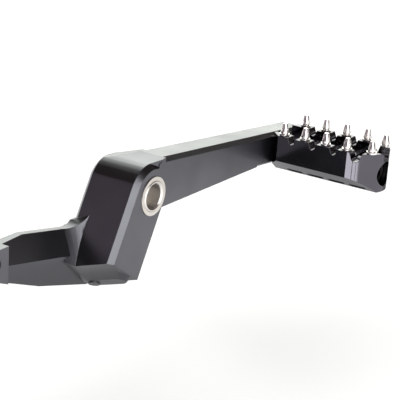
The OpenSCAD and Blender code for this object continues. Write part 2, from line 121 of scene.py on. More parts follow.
@dataclass(frozen=True)
class Finish:
    """A real finish, with the sizes of its marks in millimetres.

    Attributes:
        name: Name of the material.
        colour: Main colour, sRGB.
        shade: Second colour that the slow variation runs to, sRGB.
        metallic: Share of metal in the shader.
        roughness: Mean roughness.
        roughness_swing: How far the roughness moves either way.
        grain_mm: Size of the fine grain that the surface was left with.
        grain_depth_mm: Depth of that grain.
        cloud_mm: Size of the slow variation in colour and roughness.
        edge_mm: Radius that the edges were broken to.
        turning: Way that tool marks run.
        mark_mm: Spacing of the tool marks.
    """

    name: str
    colour: str
    shade: str
    metallic: float
    roughness: float
    roughness_swing: float = 0.05
    grain_mm: float = 0.5
    grain_depth_mm: float = 0.01
    cloud_mm: float = 25.0
    edge_mm: float = 0.25
    turning: Turning = Turning.NONE
    mark_mm: float = 0.3

    # How strongly the height of grain and marks bends the light
    RELIEF = 0.6
    # The part of the noise's range that holds nearly all of its values
    CLOUD_RANGE = (0.3, 0.7)

    def make(self) -> bpy.types.Material:
        """Builds the node material.

        Returns:
            The material, ready to be put on a piece.
        """
        material = bpy.data.materials.new(self.name)
        material.use_nodes = True
        tree = material.node_tree
        tree.nodes.clear()
        spot = add_node(tree, "ShaderNodeTexCoord").outputs["Object"]
        cloud = self.add_noise(tree, spot, self.cloud_mm, 3.0)
        colour = add_node(tree, "ShaderNodeMix", {"data_type": "RGBA"}, {"0": cloud})
        for socket, value in ((6, self.colour), (7, self.shade)):
            colour.inputs[socket].default_value = linear_rgba(value)
        low, high = self.CLOUD_RANGE
        roughness = add_node(
            tree, "ShaderNodeMapRange",
            {"From Min": low, "From Max": high, "To Min": self.roughness - self.roughness_swing,
             "To Max": self.roughness + self.roughness_swing},
            {"Value": cloud},
        )
        height = self.add_noise(tree, spot, self.grain_mm, 2.0)
        if self.turning is Turning.ROUND_PIVOT:
            height = self.add_marks(tree, spot, height)
        edge = add_node(tree, "ShaderNodeBevel", {"samples": 6, "Radius": self.edge_mm * MM})
        bump = add_node(
            tree, "ShaderNodeBump", {"Distance": self.grain_depth_mm * MM, "Strength": self.RELIEF},
            {"Height": height, "Normal": edge.outputs["Normal"]},
        )
        shader = add_node(
            tree, "ShaderNodeBsdfPrincipled", {"Metallic": self.metallic},
            {"Base Color": colour.outputs[2], "Roughness": roughness.outputs["Result"],
             "Normal": bump.outputs["Normal"]},
        )
        add_node(tree, "ShaderNodeOutputMaterial", None, {"Surface": shader.outputs["BSDF"]})
        return material

    @staticmethod
    def add_noise(
        tree: bpy.types.NodeTree, spot: bpy.types.NodeSocket, size_mm: float, detail: float
    ) -> bpy.types.NodeSocket:
        """Adds an even noise.

        Args:
            tree: The material's node tree.
            spot: Object coordinates.
            size_mm: Size of its forms, in millimetres.
            detail: Number of finer layers.

        Returns:
            The noise's value.
        """
        noise = add_node(
            tree, "ShaderNodeTexNoise", {"Scale": 1 / (size_mm * MM), "Detail": detail}, {"Vector": spot}
        )
        return noise.outputs["Fac"]

    def add_marks(
        self, tree: bpy.types.NodeTree, spot: bpy.types.NodeSocket, grain: bpy.types.NodeSocket
    ) -> bpy.types.NodeSocket:
        """Adds the rings that a lathe tool leaves round the pivot to the height of the surface.

        Args:
            tree: The material's node tree.
            spot: Object coordinates.
            grain: Height of the fine grain.

        Returns:
            The height of grain and rings together.
        """
        flat = add_node(tree, "ShaderNodeVectorMath", {"operation": "MULTIPLY"}, {"0": spot})
        flat.inputs[1].default_value = (1.0, 0.0, 1.0)
        radius = add_node(tree, "ShaderNodeVectorMath", {"operation": "LENGTH"}, {"0": flat.outputs["Vector"]})
        ring = add_node(tree, "ShaderNodeMath", {"operation": "MULTIPLY"}, {"0": radius.outputs["Value"]})
        ring.inputs[1].default_value = 2 * math.pi / (self.mark_mm * MM)
        wave = add_node(tree, "ShaderNodeMath", {"operation": "SINE"}, {"0": ring.outputs["Value"]})
        both = add_node(
            tree, "ShaderNodeMath", {"operation": "ADD"}, {"0": wave.outputs["Value"], "1": grain}
        )
        return both.outputs["Value"]


# Dark hard-anodised alloy: satin, so faces read by what they mirror and edges catch a thin line
ARM_ALLOY = Finish(
    "anodised_alloy_satin", "#636367", "#5c5c61", 1.0, 0.32, grain_mm=0.35, grain_depth_mm=0.008,
)
# The same alloy polished before anodising: near black, with sharp reflections
TIP_ALLOY = Finish(
    "anodised_alloy_gloss", "#5c5a60", "#545258", 1.0, 0.17, 0.03, grain_mm=0.6, grain_depth_mm=0.003,
)
# Turned stainless steel: warm silver with fine rings round the pivot
RING_STEEL = Finish(
    "turned_stainless", "#e6e2de", "#dcd7d2", 1.0, 0.34, grain_depth_mm=0.006, turning=Turning.ROUND_PIVOT,
    mark_mm=0.5,
)
# Bead-blasted stainless of the spikes: bright, with soft highlights down the cones
SPIKE_STEEL = Finish(
    "blasted_stainless", "#f0eceb", "#e4dfdd", 1.0, 0.2, grain_mm=0.4, grain_depth_mm=0.003, edge_mm=0.08,
)
# Zinc-plated bush: silver with a trace of bronze
BUSH_METAL = Finish(
    "plated_bronze", "#e0dbd5", "#d6d0c8", 1.0, 0.42, grain_depth_mm=0.006, turning=Turning.ROUND_PIVOT,
    mark_mm=0.5,
)
# Black oxide on hardened steel: dull and slightly brown
BOLT_STEEL = Finish("black_oxide_steel", "#3a3836", "#2c2b2a", 1.0, 0.42, grain_mm=0.4)
# Nitrile seal: matt black rubber
SEAL_RUBBER = Finish("nitrile_rubber", "#161616", "#1e1e1e", 0.0, 0.6, grain_mm=0.8, grain_depth_mm=0.02)

FINISH_OF_SLOT: dict[str, Finish] = {
    "anodised_alloy": ARM_ALLOY,
    "tip_alloy": TIP_ALLOY,
    "bare_steel": SPIKE_STEEL,
    "bush_bronze": BUSH_METAL,
    "dark_steel": BOLT_STEEL,
    "seal_rubber": SEAL_RUBBER,
}
# The sleeve shares the spikes' slot, but it is turned and not blasted
FINISH_OF_NODE: dict[str, Finish] = {"pivot_sleeve": RING_STEEL}


class MaterialShelf:
    """Makes each finish once and hands the material out."""

    def __init__(self) -> None:
        """Starts with an empty shelf."""
        self._made: dict[str, bpy.types.Material] = {}

    def get(self, finish: Finish) -> bpy.types.Material:
        """Gives the material of a finish.

        Args:
            finish: The finish that is wanted.

        Returns:
            Its material, made at the first call.
        """
        if finish.name not in self._made:
            self._made[finish.name] = finish.make()
        return self._made[finish.name]


class Meeting(Enum):
    """Ways that a piece meets a tool shape."""

    JOIN = "UNION"
    CUT = "DIFFERENCE"
    TRIM = "INTERSECT"


class Pick(Enum):
    """Kinds of mesh element, in the order of Blender's selection switches."""

    POINTS = 0
    EDGES = 1
    FACES = 2


def select_only(piece: bpy.types.Object) -> None:
    """Deselects everything and makes one piece active.

    Args:
        piece: The piece that is left selected.
    """
    bpy.ops.object.select_all(action="DESELECT")
    piece.select_set(True)
    bpy.context.view_layer.objects.active = piece


@contextmanager
def editing(
    piece: bpy.types.Object, kind: Pick, rule: Callable[[Vector, Vector], bool] | None = None
) -> Iterator[None]:
    """Opens a piece in edit mode with chosen elements selected, and closes it afterwards.

    Args:
        piece: The piece to edit.
        kind: Kind of element to select.
        rule: Takes an edge's two ends or a face's centre and normal, and says whether it is chosen. With
            no rule everything is.

    Yields:
        Nothing, while the piece is in edit mode.
    """
    select_only(piece)
    bpy.context.tool_settings.mesh_select_mode = tuple(kind is other for other in Pick)
    mesh = piece.data
    for group in (mesh.vertices, mesh.edges, mesh.polygons):
        group.foreach_set("select", [rule is None] * len(group))
    if rule is not None and kind is Pick.FACES:
        for face in mesh.polygons:
            face.select = rule(face.center, face.normal)
    elif rule is not None:
        for edge in mesh.edges:
            start, end = (mesh.vertices[i].co for i in edge.vertices)
            edge.select = rule(start, end)
    bpy.ops.object.mode_set(mode="EDIT")
    try:
        yield
    finally:
        bpy.ops.object.mode_set(mode="OBJECT")


def place(piece: bpy.types.Object, where: Matrix) -> None:
    """Moves a piece by moving its mesh, so that its object stays at the origin.

    Args:
        piece: The piece to move.
        where: The move, on top of the place that the piece has.
    """
    piece.data.transform(where @ piece.matrix_world)
    piece.matrix_world = Matrix.Identity(4)
    bpy.context.view_layer.update()


def draw_rings(
    name: str, stations: Sequence[tuple[float, float]], sides: int, tube: bool = False
) -> bpy.types.Object:
    """Draws a turned shape about Z ring by ring, as on a lathe.

    Args:
        name: Name of the piece.
        stations: Radius and height of each ring, in millimetres.
        sides: Number of sides of a ring.
        tube: Whether the last ring closes on the first, instead of both ends being capped.

    Returns:
        The closed piece.
    """
    first_r, first_z = stations[0]
    bpy.ops.object.select_all(action="DESELECT")
    bpy.ops.mesh.primitive_circle_add(
        vertices=sides, radius=first_r * MM, location=(0, 0, first_z * MM), fill_type="NOTHING"
    )
    piece = bpy.context.active_object
    piece.name = name
    place(piece, Matrix.Identity(4))
    with editing(piece, Pick.EDGES):
        for (r0, z0), (r1, z1) in zip(stations, stations[1:]):
            bpy.ops.mesh.extrude_edges_move(TRANSFORM_OT_translate={"value": (0.0, 0.0, (z1 - z0) * MM)})
            bpy.ops.transform.resize(value=(r1 / r0, r1 / r0, 1.0), center_override=(0.0, 0.0, z1 * MM))
        if not tube:
            bpy.ops.mesh.edge_face_add()
    if not tube:
        with editing(piece, Pick.EDGES, lambda start, end: max(start.z, end.z) < first_z * MM + WELD):
            bpy.ops.mesh.edge_face_add()
    with editing(piece, Pick.FACES):
        bpy.ops.mesh.remove_doubles(threshold=WELD)
        bpy.ops.mesh.normals_make_consistent(inside=False)
    return piece


def draw_hexagon(name: str, flats: float, low: float, high: float, broken: float) -> bpy.types.Object:
    """Draws an upright hexagonal bar with broken edges.

    Args:
        name: Name of the piece.
        flats: Width across the flats, in millimetres.
        low: Height of its foot.
        high: Height of its top.
        broken: Width of the broken edges, or 0 for sharp ones.

    Returns:
        The bar.
    """
    bpy.ops.object.select_all(action="DESELECT")
    bpy.ops.mesh.primitive_cylinder_add(
        vertices=6, radius=flats / math.sqrt(3) * MM, depth=(high - low) * MM,
        location=(0, 0, (low + high) / 2 * MM),
    )
    bar = bpy.context.active_object
    bar.name = name
    place(bar, Matrix.Identity(4))
    if broken:
        with editing(bar, Pick.EDGES):
            bpy.ops.mesh.bevel(offset=broken * MM, segments=2, affect="EDGES")
    return bar


def draw_block(name: str, low: Vector, high: Vector) -> bpy.types.Object:
    """Draws an upright block.

    Args:
        name: Name of the block.
        low: Its lowest corner, in millimetres.
        high: Its highest corner.

    Returns:
        The block.
    """
    bpy.ops.object.select_all(action="DESELECT")
    bpy.ops.mesh.primitive_cube_add(size=1.0, location=(0, 0, 0))
    block = bpy.context.active_object
    block.name = name
    place(block, Matrix.Translation((low + high) / 2 * MM) @ Matrix.Diagonal((*((high - low) * MM), 1.0)))
    return block


def slice_off(piece: bpy.types.Object, point: Vector, outward: Vector) -> None:
    """Slices off the part of a closed piece that lies outside a plane.

    Args:
        piece: The piece that changes.
        point: A point of the plane, in millimetres.
        outward: Direction that the cut face looks in.
    """
    with editing(piece, Pick.FACES):
        bpy.ops.mesh.bisect(plane_co=point * MM, plane_no=outward.normalized(), clear_outer=True, use_fill=True)


def combine(piece: bpy.types.Object, tool: bpy.types.Object, how: Meeting) -> None:
    """Joins, cuts or trims a piece with a tool shape, and throws the tool away.

    Args:
        piece: The piece that changes.
        tool: The closed shape that it meets.
        how: The way that they meet.
    """
    select_only(piece)
    modifier = piece.modifiers.new("combine", "BOOLEAN")
    modifier.operation = how.value
    modifier.solver = "EXACT"
    modifier.object = tool
    bpy.ops.object.modifier_apply(modifier=modifier.name)
    bpy.data.objects.remove(tool)


def soften(piece: bpy.types.Object, width: float, angle: float, segments: int = 2) -> None:
    """Rounds the sharp edges of a piece with a bevel, and applies it.

    Args:
        piece: The piece that changes.
        width: Width of the rounding in millimetres.
        angle: Edges sharper than this are rounded, in degrees.
        segments: Steps across the rounding.
    """
    select_only(piece)
    modifier = piece.modifiers.new("soften", "BEVEL")
    modifier.width = width * MM
    modifier.segments = segments
    modifier.limit_method = "ANGLE"
    modifier.angle_limit = math.radians(angle)
    modifier.use_clamp_overlap = True
    modifier.harden_normals = True
    bpy.ops.object.modifier_apply(modifier=modifier.name)


def smooth(piece: bpy.types.Object, angle: float = 30.0) -> None:
    """Shades a piece smooth across its flatter edges.

    Args:
        piece: The piece that changes.
        angle: Edges flatter than this are smooth, in degrees.
    """
    select_only(piece)
    bpy.ops.object.shade_smooth_by_angle(angle=math.radians(angle))


def merged_copy(node: str, name: str) -> bpy.types.Object:
    """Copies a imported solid, with its loose triangles merged into clean flat faces.

    Args:
        node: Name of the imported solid.
        name: Name of the new piece.

    Returns:
        The copy, which the looks may be built on.
    """
    piece = bpy.data.objects.new(name, frame["nodes"][node].data.copy())
    bpy.context.scene.collection.objects.link(piece)
    piece.data.materials.clear()
    with editing(piece, Pick.FACES):
        bpy.ops.mesh.remove_doubles(threshold=WELD)
        bpy.ops.mesh.dissolve_limited(angle_limit=math.radians(FLAT_ANGLE))
    return piece


@dataclass
class Assembly:
    """A group of pieces that ride on the pedal.

    Attributes:
        shelf: Shelf that the finishes come from.
    """

    shelf: MaterialShelf

    def fit(self, piece: bpy.types.Object, finish: Finish, slot: str, node: str, body: str = "pedal") -> None:
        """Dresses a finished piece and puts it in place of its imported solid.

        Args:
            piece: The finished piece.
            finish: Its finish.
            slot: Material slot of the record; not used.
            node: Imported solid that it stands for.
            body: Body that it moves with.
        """
        piece.data.materials.clear()
        piece.data.materials.append(self.shelf.get(finish))
        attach(piece, body)
        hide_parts(node)
        LOG.info("%s stands for %s: %d faces", piece.name, node, len(piece.data.polygons))


@dataclass
class SpikePins(Assembly):
    """Ten screwed spikes along the two walls of the tip.

    Attributes:
        rows: Names of the two rows.
        count: Pins in a row.
        height: Height of a pin above its tower, in millimetres.
        flats: Width of its hexagon across the flats.
        hexagon_h: Height of the hexagon.
        broken: Width of the hexagon's broken edges.
        sides: Sides of a turned ring.
        profile: Radius and height of each ring of the turned part, from the stem to the blunt point.
    """

    rows: tuple[str, str] = ("rear", "front")
    count: int = 5
    height: float = 6.7
    flats: float = 5.2
    hexagon_h: float = 1.2
    broken: float = 0.15
    sides: int = 32
    profile: tuple[tuple[float, float], ...] = (
        (1.6, -6.0), (2.0, -5.6), (2.0, 1.0), (1.95, 1.35), (2.3, 1.6), (2.3, 1.9), (1.3, 6.1), (1.12, 6.5),
        (0.7, 6.7),
    )

    def make_pattern(self) -> bpy.types.Object:
        """Models one pin at the origin, with its seat at height 0.

        Returns:
            The pin that the others are copied from.
        """
        pin = draw_rings("pin_pattern", self.profile, self.sides)
        combine(pin, draw_hexagon("pin_hexagon", self.flats, 0.0, self.hexagon_h, self.broken), Meeting.JOIN)
        smooth(pin)
        return pin

    def build(self) -> None:
        """Copies the pin onto each packed one."""
        pattern = self.make_pattern()
        for row in self.rows:
            for number in range(1, self.count + 1):
                node = f"{row}_pin_{number}"
                low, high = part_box(node)
                select_only(pattern)
                bpy.ops.object.duplicate()
                pin = bpy.context.active_object
                pin.name = f"{row}_spike_{number}"
                seat = Vector(((low[0] + high[0]) / 2, (low[1] + high[1]) / 2, high[2] - self.height * MM))
                place(pin, Matrix.Translation(seat))
                self.fit(pin, SPIKE_STEEL, "bare_steel", node)
        bpy.data.objects.remove(pattern)


@dataclass
class TipBolt(Assembly):
    """Low-head socket bolt, sunk in the round end of the tip.

    Attributes:
        shank_r: Radius of the shank, in millimetres.
        shank_chamfer: Width of the chamfer at the end of the shank.
        neck: Width of the flare under the head.
        head_r: Radius of the head.
        head_h: Height of the head.
        seat_chamfer: Width of the chamfer at the foot of the head.
        crown: How far the rounded top of the head falls, and comes in.
        crown_middle: How far it has come in and fallen at its middle.
        land: Distance in from the head's side to the flat round the socket.
        packed_head_h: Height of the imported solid's head, whose seat this head keeps.
        socket: Width of the hexagon socket across its flats.
        socket_d: Depth of the socket.
        sides: Sides of a turned ring.
    """

    shank_r: float = 4.0
    shank_chamfer: float = 0.7
    neck: float = 0.4
    head_r: float = 6.45
    head_h: float = 5.0
    seat_chamfer: float = 0.3
    crown: float = 0.7
    crown_middle: tuple[float, float] = (0.2, 0.25)
    land: float = 1.6
    packed_head_h: float = 8.0
    socket: float = 6.0
    socket_d: float = 3.2
    sides: int = 64

    def profile(self, length: float) -> list[tuple[float, float]]:
        """Lists the rings of the bolt, from the end of its shank to the top of its head.

        Args:
            length: Length under the head, in millimetres.

        Returns:
            Radius and height of each ring.
        """
        shank, head, top = self.shank_r, self.head_r, self.head_h
        middle_in, middle_fall = self.crown_middle
        return [
            (shank - self.shank_chamfer, -length), (shank, self.shank_chamfer - length), (shank, -self.neck),
            (shank + self.neck, 0.0), (head - self.seat_chamfer, 0.0), (head, self.seat_chamfer),
            (head, top - self.crown), (head - middle_in, top - middle_fall), (head - self.crown, top),
            (head - self.land, top),
        ]

    def build(self) -> None:
        """Models the bolt upright and lays it along its hole."""
        low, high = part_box("tip_bolt")
        length = (high[1] - low[1]) / MM - self.packed_head_h
        bolt = draw_rings("tip_screw", self.profile(length), self.sides)
        floor, clear = self.head_h - self.socket_d, self.head_h + 1
        combine(bolt, draw_hexagon("socket_tool", self.socket, floor, clear, 0), Meeting.CUT)
        smooth(bolt)
        seat = Vector(((low[0] + high[0]) / 2, low[1] + self.packed_head_h * MM, (low[2] + high[2]) / 2))
        place(bolt, Matrix.Translation(seat) @ Matrix.Rotation(math.radians(90), 4, "X"))
        self.fit(bolt, BOLT_STEEL, "dark_steel", "tip_bolt")


@dataclass
class TipBlock(Assembly):
    """The machined block of the tip, with its round end and broken edges.

    Attributes:
        end_r: Radius of the round end, seen from above, in millimetres.
        narrow_half: Half the width of the block where the round begins.
        reach: Length of the tongue that the block is trimmed to, more than the block has.
        room: How far the tongue stands clear of the block above, below and beside it.
        smooth_angle: Edges flatter than this are smooth, in degrees.
        sharp_angle: Edges sharper than this are broken.
        broken: Width of the broken edges.
        sides: Sides of the round.
    """

    end_r: float = 14.6
    narrow_half: float = 14.1
    reach: float = 80.0
    room: float = 2.0
    smooth_angle: float = 8.0
    sharp_angle: float = 25.0
    broken: float = 0.22
    sides: int = 128

    def make_tongue(self, low: Vector, high: Vector) -> bpy.types.Object:
        """Draws an upright tongue with a round end, to trim the block to.

        Args:
            low: Lowest corner of the block, in millimetres.
            high: Its highest corner.

        Returns:
            The tongue.
        """
        bottom, top = low.z - self.room, high.z + self.room
        centre_x, centre_y = (low.x + high.x) / 2, low.y + self.end_r
        half = (high.x - low.x) / 2 + self.room
        start_y = centre_y - math.sqrt(self.end_r ** 2 - self.narrow_half ** 2)
        tongue = draw_rings("round_end", [(self.end_r, bottom), (self.end_r, top)], self.sides)
        place(tongue, Matrix.Translation(Vector((centre_x, centre_y, 0)) * MM))
        body = draw_block(
            "tongue_body", Vector((centre_x - half, start_y, bottom)),
            Vector((centre_x + half, start_y + self.reach, top)),
        )
        combine(tongue, body, Meeting.JOIN)
        return tongue

    def build(self) -> None:
        """Trims the end round and breaks the edges."""
        low, high = (Vector(corner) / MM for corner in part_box("tip_body"))
        block = merged_copy("tip_body", "tip_block")
        combine(block, self.make_tongue(low, high), Meeting.TRIM)
        smooth(block, self.smooth_angle)
        soften(block, self.broken, self.sharp_angle)
        self.fit(block, TIP_ALLOY, "tip_alloy", "tip_body")


@dataclass
class PedalForging(Assembly):
    """The one-piece body of boss, arm, leg and lug, with blended forms and softened edges.

    Attributes:
        ramp_rear: Place along X and Z where the ramp leaves the round of the boss, in millimetres.
        ramp_front: Place where it reaches the top of the arm.
        ramp_foot_z: Height that the blend reaches down to, inside the boss.
        runout: Length over which the boss's chamfer dies out into the ramp.
        chamfer: Width of the boss's chamfer.
        web_head: Place along X and Y where the inboard web meets the boss.
        web_side: Direction along X and Y that the web's side faces.
        shoulder_at: Place along Y and Z where the inboard shoulder starts to fall.
        shoulder_fall: Fall of the shoulder per millimetre inboard.
        shoulder_reach: Rear and front limits of the shoulder along X.
        leg_lean: Lean of the leg, in degrees.
        foot_at: Rear outboard corner of the foot, in the leaning leg's own frame.
        foot_rise: Rise of the foot per millimetre forward.
        foot_slant: Slant of the foot per millimetre inboard.
        land_at: Place along the foot of the stop land's outboard centre.
        land_span: Distance from there to its inboard centre.
        land_r: Half its width at the stop face.
        land_foot_r: Half its width where the blend runs out on the foot.
        land_h: How far it stands out of the foot.
        land_sunk: How far the blend runs on into the foot.
        room: How far a cutting shape stands clear of the body.
        smooth_angle: Edges flatter than this are smooth, in degrees.
        sharp_angle: Edges sharper than this are rounded.
        rounding: Width that the edges are rounded over.
    """

    ramp_rear: tuple[float, float] = (-1.5, 15.5)
    ramp_front: tuple[float, float] = (9.1, 16.83)
    ramp_foot_z: float = 11.0
    runout: float = 8.0
    chamfer: float = 2.5
    web_head: tuple[float, float] = (4.6, 12.15)
    web_side: tuple[float, float] = (10.0, 8.8)
    shoulder_at: tuple[float, float] = (1.5, 16.6)
    shoulder_fall: float = 0.2
    shoulder_reach: tuple[float, float] = (-15.0, 13.3)
    leg_lean: float = 28.0
    foot_at: tuple[float, float, float] = (-15.6, -14.25, -36.3)
    foot_rise: float = 0.117
    foot_slant: float = 0.34
    land_at: tuple[float, float] = (21.8, 7.8)
    land_span: float = 12.9
    land_r: float = 3.9
    land_foot_r: float = 7.2
    land_h: float = 1.75
    land_sunk: float = 0.1
    room: float = 2.0
    smooth_angle: float = 12.0
    sharp_angle: float = 28.0
    rounding: float = 0.45

    def make_ramp(self, out_y: float, in_y: float) -> bpy.types.Object:
        """Cuts a block to the ramp that leads from the boss up to the arm.

        Args:
            out_y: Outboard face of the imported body, in millimetres.
            in_y: Its inboard face.

        Returns:
            The ramp, overlapping the body that it joins.
        """
        (rear_x, rear_z), (front_x, front_z) = self.ramp_rear, self.ramp_front
        ramp = draw_block(
            "ramp_block", Vector((rear_x, out_y, self.ramp_foot_z)),
            Vector((front_x, in_y - self.chamfer, front_z)),
        )
        slice_off(ramp, Vector((rear_x, 0, rear_z)), Vector((rear_z - front_z, 0, front_x - rear_x)))
        slice_off(ramp, Vector((rear_x, out_y + self.chamfer, 0)), Vector((-self.chamfer, -self.runout, 0)))
        slice_off(ramp, Vector((*self.web_head, 0)), Vector((*self.web_side, 0)))
        return ramp

    def make_shoulder(self, in_y: float) -> bpy.types.Object:
        """Draws the wedge that is cut away above the inboard shoulder of boss and web.

        Args:
            in_y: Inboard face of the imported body, in millimetres.

        Returns:
            The wedge.
        """
        start_y, start_z = self.shoulder_at
        rear_x, front_x = self.shoulder_reach
        end_y = in_y + self.room
        low_z = start_z - self.shoulder_fall * (end_y - start_y) - self.room
        wedge = draw_block(
            "shoulder_wedge", Vector((rear_x, start_y, low_z)), Vector((front_x, end_y, start_z + self.room))
        )
        slice_off(wedge, Vector((0, start_y, start_z)), Vector((0, -self.shoulder_fall, -1)))
        return wedge

    def make_stop_blend(self) -> bpy.types.Object:
        """Draws the stop land with the blend that runs out round it on the slanted foot.

        Returns:
            The land, placed under the foot.
        """
        top_r = self.land_foot_r + (self.land_foot_r - self.land_r) / self.land_h * self.land_sunk
        land = draw_rings("stop_blend", [(self.land_r, -self.land_h), (top_r, self.land_sunk)], 64)
        with editing(land, Pick.EDGES, lambda start, end: min(start.z, end.z) > 0):
            bpy.ops.transform.translate(value=((self.land_r - top_r) * MM, 0, 0))
        with editing(land, Pick.EDGES, lambda start, end: min(start.y, end.y) > -WELD):
            bpy.ops.transform.translate(value=(0, self.land_span * MM, 0))
        rise = math.atan(self.foot_rise)
        slant = math.atan(self.foot_slant * math.cos(rise))
        place(
            land,
            Matrix.Rotation(math.radians(self.leg_lean), 4, "Y") @ Matrix.Translation(Vector(self.foot_at) * MM)
            @ Matrix.Rotation(rise, 4, "Y") @ Matrix.Rotation(-slant, 4, "X")
            @ Matrix.Translation(Vector((*self.land_at, 0)) * MM),
        )
        return land

    def build(self) -> None:
        """Joins the blends on, cuts the shoulder and rounds the edges."""
        low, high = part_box("pedal_arm")
        out_y, in_y = low[1] / MM, high[1] / MM
        body = merged_copy("pedal_arm", "pedal_forging")
        combine(body, self.make_ramp(out_y, in_y), Meeting.JOIN)
        combine(body, self.make_shoulder(in_y), Meeting.CUT)
        combine(body, self.make_stop_blend(), Meeting.JOIN)
        smooth(body, self.smooth_angle)
        soften(body, self.rounding, self.sharp_angle)
        self.fit(body, ARM_ALLOY, "anodised_alloy", "pedal_arm")


@dataclass
class PivotSleeve(Assembly):
    """Turned steel sleeve on which the pedal swings, with chamfered rims.

    Attributes:
        bore_r: Radius of the bore, in millimetres.
        outer_r: Outer radius.
        bore_chamfer: Width of the chamfer at each end of the bore.
        rim_chamfer: Width of the chamfer at each outer rim.
        sides: Sides of a turned ring.
    """

    bore_r: float = 6.0
    outer_r: float = 7.5
    bore_chamfer: float = 0.7
    rim_chamfer: float = 0.3
    sides: int = 96

    def build(self) -> None:
        """Turns the sleeve and lays it along the pivot."""
        low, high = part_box("pivot_sleeve")
        half = (high[1] - low[1]) / 2 / MM
        inner = [(self.bore_r + self.bore_chamfer, -half), (self.bore_r, -half + self.bore_chamfer)]
        outer = [(self.outer_r, half - self.rim_chamfer), (self.outer_r - self.rim_chamfer, half)]
        rings = (
            inner + [(r, -z) for r, z in reversed(inner)] + list(reversed(outer)) + [(r, -z) for r, z in outer]
            + inner[:1]
        )
        sleeve = draw_rings("turned_sleeve", rings, self.sides, tube=True)
        smooth(sleeve)
        place(sleeve, Matrix.Rotation(math.radians(90), 4, "X"))
        self.fit(sleeve, RING_STEEL, "bare_steel", "pivot_sleeve", "sleeve")


@dataclass
class Dressing:
    """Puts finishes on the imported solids.

    Attributes:
        shelf: Shelf that the finishes come from.
        subparts: The record's list of solids, with the material slot of each.
    """

    shelf: MaterialShelf
    subparts: list[dict[str, Any]]

    def dress(self) -> None:
        """Gives each node the finish of its slot."""
        for part in self.subparts:
            node = frame["nodes"][part["node"]]
            finish = FINISH_OF_NODE.get(part["node"], FINISH_OF_SLOT[part["material_slot"]])
            node.data.materials.clear()
            node.data.materials.append(self.shelf.get(finish))
        LOG.info("dressed %d nodes", len(self.subparts))


@dataclass(frozen=True)
class Card:
    """A glowing card that only shows in the metal's reflections.

    Attributes:
        name: Name of the card.
        centre: Middle of the card.
        size: Width and height.
        level: Brightness, where 1 is white.
        colour: Colour of its light, sRGB.
        flat: Whether it lies level, instead of facing the pedal.
    """

    name: str
    centre: tuple[float, float, float]
    size: tuple[float, float]
    level: float
    colour: str = WHITE
    flat: bool = False


@dataclass(frozen=True)
class Softbox:
    """A lamp that lights the floor and the pedal softly, and that metal doesn't mirror.

    Attributes:
        name: Name of the lamp.
        centre: Middle of the lamp.
        size: Width and height.
        power: Power in watts.
    """

    name: str
    centre: tuple[float, float, float]
    size: tuple[float, float]
    power: float


FLOOR_Z = -0.11
# Flat cards lie just clear of the floor, one above the other
ON_FLOOR = FLOOR_Z + 0.004
ABOVE_STRIP = FLOOR_Z + 0.005

CARDS = (
    # White wall beyond the pedal, which its upward faces mirror, brighter towards the ceiling
    Card("backdrop_card", (1.11, 0.69, 0.77), (1.7, 1.6), 2.75, "#fbfff6"),
    Card("high_card", (0.74, 0.6, 0.66), (1.2, 0.5), 4.0, "#fbfff6"),
    # Light at the outboard side, for the chamfers of the leg and the facet of the tip
    Card("right_card", (-0.56, -0.97, 0.36), (1.2, 0.9), 3.25),
    # Dim wall behind the camera's left, for the rear of the leg
    Card("rear_card", (-1.15, 0.87, 0.49), (1.2, 0.7), 0.5, "#fff0ff"),
    # Painted pool of light and painted shade on the floor, seen only in reflections, for the faces that look
    # down or sideways
    Card("floor_strip", (-0.29, -0.07, ON_FLOOR), (0.3, 0.17), 4.8, flat=True),
    # Dim cards: painted shadow of the pedal and its tip on the floor
    Card("front_shade_card", (0.62, -0.3, ON_FLOOR), (0.5, 0.56), 0.35, flat=True),
    Card("floor_shade_card", (-0.3, 0.27, ABOVE_STRIP), (0.42, 0.48), 0.03, flat=True),
)

SOFTBOXES = (
    Softbox("top_softbox", (0.1, 0.2, 1.2), (1.4, 1.4), 14.0),
    Softbox("right_softbox", (-0.4, -1.1, 0.35), (0.8, 0.5), 8.0),
)


